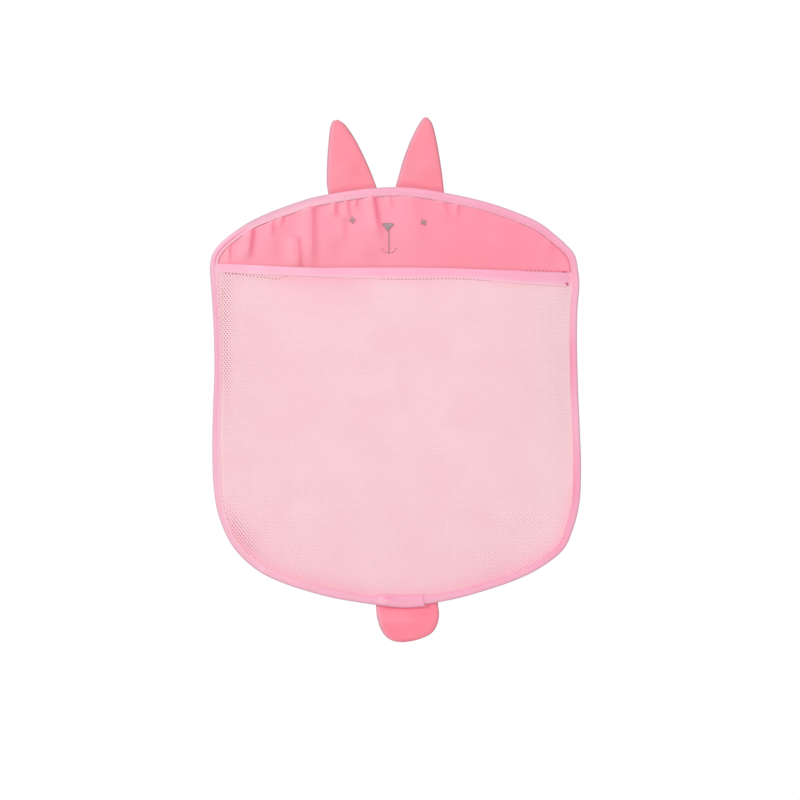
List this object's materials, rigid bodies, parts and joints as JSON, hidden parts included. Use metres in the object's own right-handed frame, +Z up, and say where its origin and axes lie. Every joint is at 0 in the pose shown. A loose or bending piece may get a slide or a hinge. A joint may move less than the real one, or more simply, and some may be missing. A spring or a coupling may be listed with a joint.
{
  "type": "bath toy organizer",
  "caption": "Rabbit-shaped flat net bag for bath toys with padded ears and tail, hung from loops on suction hooks.",
  "frame": {"origin": "on the wall plane, halfway between the two suction cups", "axes": "+X across the bag to the viewer's right, +Y into the wall so the front faces -Y, +Z up"},
  "size_m": [0.3489, 0.0565, 0.4971],
  "materials": {
    "coral_cloth": "woven polyester, slightly satin",
    "pale_net": "knitted polyester net",
    "pink_tape": "folded bias tape",
    "loop_tape": "woven tape",
    "grey_thread": "embroidery thread",
    "wadding": "polyester wadding",
    "clear_pvc": "clear soft PVC",
    "clear_hook": "clear moulded polycarbonate"
  },
  "bodies": {
    "wall_hooks": {"suction_cup_left": "clear_pvc", "suction_cup_right": "clear_pvc", "hook_left": "clear_hook", "hook_right": "clear_hook"},
    "hang_loops": {"hang_loop_left": "loop_tape", "hang_loop_right": "loop_tape"},
    "bag": {"back_panel": "coral_cloth", "front_mesh": "pale_net", "pocket_hem": "pink_tape", "edge_binding": "pink_tape", "eye_left": "grey_thread", "eye_right": "grey_thread", "nose": "grey_thread", "mouth": "grey_thread"},
    "ear_left": {"ear_left_front": "coral_cloth", "ear_left_back": "coral_cloth", "ear_left_padding": "wadding"},
    "ear_right": {"ear_right_front": "coral_cloth", "ear_right_back": "coral_cloth", "ear_right_padding": "wadding"},
    "tail": {"tail_front": "coral_cloth", "tail_back": "coral_cloth", "tail_padding": "wadding"}
  },
  "joints": [
    {"name": "loops_lift", "type": "slide", "parent": "wall_hooks", "child": "hang_loops", "axis": [0, 0, 1], "range_m": [0, 0.012]},
    {"name": "bag_swing", "type": "hinge", "parent": "hang_loops", "child": "bag", "pos_m": [0, -0.01955, -0.0015], "axis": [-1, 0, 0], "range_deg": [0, 15]},
    {"name": "ear_left_fold", "type": "hinge", "parent": "bag", "child": "ear_left", "pos_m": [-0.0397, -0.03545, 0.0608], "axis": [0.9926, 0, 0.1216], "range_deg": [-20, 100], "stiffness_Nm_per_rad": 0.01},
    {"name": "ear_right_fold", "type": "hinge", "parent": "bag", "child": "ear_right", "pos_m": [0.02355, -0.03545, 0.0618], "axis": [0.9945, 0, -0.1047], "range_deg": [-20, 100], "stiffness_Nm_per_rad": 0.01},
    {"name": "tail_fold", "type": "hinge", "parent": "bag", "child": "tail", "pos_m": [0.0118, -0.03545, -0.3361], "axis": [-0.9989, 0, -0.0474], "range_deg": [-35, 90]}
  ]
}
